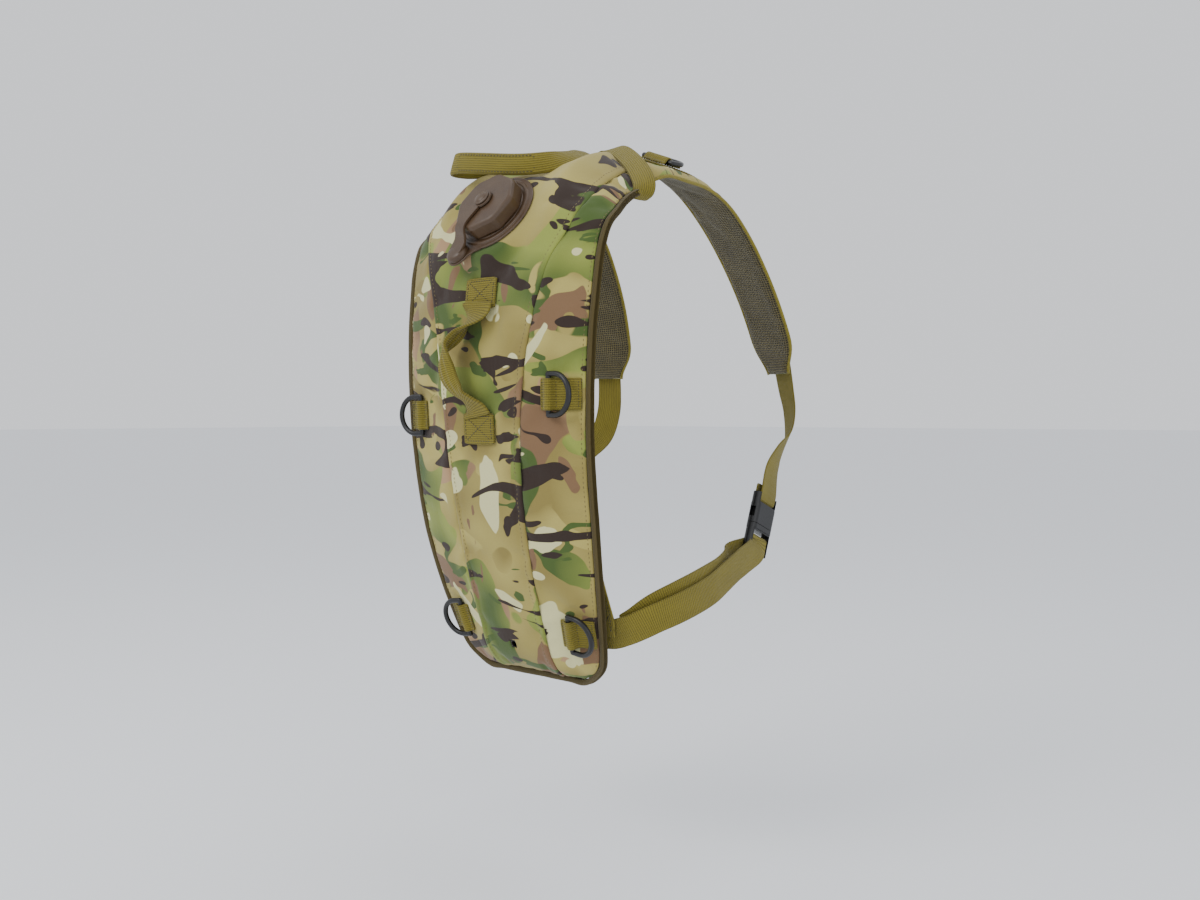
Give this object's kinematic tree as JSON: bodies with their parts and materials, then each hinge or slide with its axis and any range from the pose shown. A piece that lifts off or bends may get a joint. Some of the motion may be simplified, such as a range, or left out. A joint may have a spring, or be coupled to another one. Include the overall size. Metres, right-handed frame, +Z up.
{
  "type": "hydration pack",
  "caption": "Worn-shape hydration pack: thin padded shell over a flat reservoir, tethered screw cap, webbing handles, hinged D-rings, padded shoulder straps and side-release buckles.",
  "frame": {"origin": "nape: the middle of the yoke's underside, where it rests on the wearer", "axes": "+Z up, +Y towards the wearer's front, +X to the wearer's right; the outer face looks along -Y"},
  "size_m": [0.2748, 0.3352, 0.4521],
  "materials": {
    "camo_fabric": "matt woven polyester in a printed blotch camouflage of khaki, sand, green and brown",
    "back_mesh": "padded spacer mesh, olive brown",
    "liner_foil": "thin foam with a reflective face",
    "reservoir_film": "soft clear film with a blue tint",
    "black_plastic": "moulded acetal, satin",
    "brown_plastic": "moulded plastic, satin",
    "gasket_rubber": "smooth",
    "dark_metal": "blackened brass, satin",
    "binding_tape": "woven tape",
    "olive_webbing": "ribbed woven webbing"
  },
  "bodies": {
    "pack": {"front_center_panel": "camo_fabric", "side_panel_right": "camo_fabric", "side_panel_left": "camo_fabric", "back_panel": "back_mesh", "insulation_liner": "liner_foil", "reservoir": "reservoir_film", "hose_outlet": "black_plastic", "fill_neck": "brown_plastic", "fill_collar": "brown_plastic", "tether_anchor": "brown_plastic", "drain_eyelet": "dark_metal", "drain_washer": "dark_metal", "edge_binding": "binding_tape", "neckline_binding": "olive_webbing", "front_handle_patches": "olive_webbing", "dring_loop_upper_right": "olive_webbing", "dring_loop_upper_left": "olive_webbing", "dring_loop_lower_right": "olive_webbing", "dring_loop_lower_left": "olive_webbing", "shoulder_pad_right": "camo_fabric", "shoulder_pad_left": "camo_fabric", "shoulder_webbing_right": "olive_webbing", "shoulder_webbing_left": "olive_webbing", "cross_band_right": "olive_webbing", "cross_band_left": "olive_webbing", "shoulder_dring_loop_right": "olive_webbing", "shoulder_dring_loop_left": "olive_webbing", "buckle_socket_right": "black_plastic", "buckle_socket_left": "black_plastic", "lower_webbing_right": "olive_webbing", "lower_webbing_left": "olive_webbing", "anchor_tab_right": "olive_webbing", "anchor_tab_left": "olive_webbing", "zip_tape": "black_plastic"},
    "tether": {"cap_tether": "brown_plastic"},
    "cap": {"cap_shell": "brown_plastic", "cap_gasket": "gasket_rubber", "cap_button": "brown_plastic"},
    "top_handle": {"top_handle": "olive_webbing"},
    "front_handle": {"front_handle": "olive_webbing"},
    "zip_slider": {"zip_slider": "dark_metal"},
    "dring_upper_right": {"dring_upper_right": "black_plastic"},
    "dring_upper_left": {"dring_upper_left": "black_plastic"},
    "dring_lower_right": {"dring_lower_right": "black_plastic"},
    "dring_lower_left": {"dring_lower_left": "black_plastic"},
    "shoulder_dring_right": {"shoulder_dring_right": "black_plastic"},
    "plug_right": {"buckle_plug_right": "black_plastic"},
    "latch_front_right": {"latch_front_right": "black_plastic"},
    "latch_rear_right": {"latch_rear_right": "black_plastic"},
    "shoulder_dring_left": {"shoulder_dring_left": "black_plastic"},
    "plug_left": {"buckle_plug_left": "black_plastic"},
    "latch_front_left": {"latch_front_left": "black_plastic"},
    "latch_rear_left": {"latch_rear_left": "black_plastic"}
  },
  "joints": [
    {"name": "tether_swing", "type": "hinge", "parent": "pack", "child": "tether", "pos_m": [-0.01523, -0.09691, -0.06201], "axis": [0.9114, -0.2241, -0.3451], "range_deg": [0, 110]},
    {"name": "cap_turn", "type": "hinge", "parent": "tether", "child": "cap", "pos_m": [0, -0.0715, -0.0383], "axis": [0, -0.8387, 0.5446], "range_deg": [0, 450]},
    {"name": "dring_upper_right_swing", "type": "hinge", "parent": "pack", "child": "dring_upper_right", "pos_m": [0.07152, -0.08536, -0.18808], "axis": [-0.0066, 0.0257, -0.9996], "range_deg": [-14, 110]},
    {"name": "dring_upper_left_swing", "type": "hinge", "parent": "pack", "child": "dring_upper_left", "pos_m": [-0.08051, -0.08214, -0.20417], "axis": [-0.013, -0.0515, 0.9986], "range_deg": [-14, 110]},
    {"name": "dring_lower_right_swing", "type": "hinge", "parent": "pack", "child": "dring_lower_right", "pos_m": [0.06151, -0.04866, -0.38101], "axis": [-0.0953, 0.3124, -0.9452], "range_deg": [-14, 110]},
    {"name": "dring_lower_left_swing", "type": "hinge", "parent": "pack", "child": "dring_lower_left", "pos_m": [-0.06151, -0.04866, -0.38101], "axis": [-0.0953, -0.3124, 0.9452], "range_deg": [-14, 110]},
    {"name": "shoulder_dring_right_swing", "type": "hinge", "parent": "pack", "child": "shoulder_dring_right", "pos_m": [0.08315, 0.04, 0.01438], "axis": [0.9285, 0, -0.3714], "range_deg": [0, 130]},
    {"name": "shoulder_dring_left_swing", "type": "hinge", "parent": "pack", "child": "shoulder_dring_left", "pos_m": [-0.08315, 0.04, 0.01438], "axis": [0.9285, 0, 0.3714], "range_deg": [0, 130]},
    {"name": "top_handle_lift", "type": "hinge", "parent": "pack", "child": "top_handle", "pos_m": [0, -0.0085, 0.0155], "axis": [-1, 0, 0], "range_deg": [0, 75]},
    {"name": "front_handle_swing", "type": "hinge", "parent": "pack", "child": "front_handle", "pos_m": [0, -0.0918, -0.16], "axis": [0, 0, 1], "range_deg": [-15, 90]},
    {"name": "zip_slide", "type": "slide", "parent": "pack", "child": "zip_slider", "axis": [1, 0, 0], "range_m": [0, 0.132]},
    {"name": "buckle_release_right", "type": "slide", "parent": "pack", "child": "plug_right", "axis": [0, -0.3714, -0.9285], "range_m": [0, 0.035], "deforming": ["lower_webbing_right"]},
    {"name": "latch_front_right_squeeze", "type": "hinge", "parent": "plug_right", "child": "latch_front_right", "pos_m": [0.124, 0.1458, -0.30641], "axis": [1, 0, 0], "range_deg": [0, 6], "stiffness_Nm_per_rad": 0.5},
    {"name": "latch_rear_right_squeeze", "type": "hinge", "parent": "plug_right", "child": "latch_rear_right", "pos_m": [0.124, 0.12723, -0.29899], "axis": [-1, 0, 0], "range_deg": [0, 6], "stiffness_Nm_per_rad": 0.5},
    {"name": "buckle_release_left", "type": "slide", "parent": "pack", "child": "plug_left", "axis": [0, -0.3714, -0.9285], "range_m": [0, 0.035], "deforming": ["lower_webbing_left"]},
    {"name": "latch_front_left_squeeze", "type": "hinge", "parent": "plug_left", "child": "latch_front_left", "pos_m": [-0.124, 0.1458, -0.30641], "axis": [1, 0, 0], "range_deg": [0, 6], "stiffness_Nm_per_rad": 0.5},
    {"name": "latch_rear_left_squeeze", "type": "hinge", "parent": "plug_left", "child": "latch_rear_left", "pos_m": [-0.124, 0.12723, -0.29899], "axis": [-1, 0, 0], "range_deg": [0, 6], "stiffness_Nm_per_rad": 0.5}
  ]
}
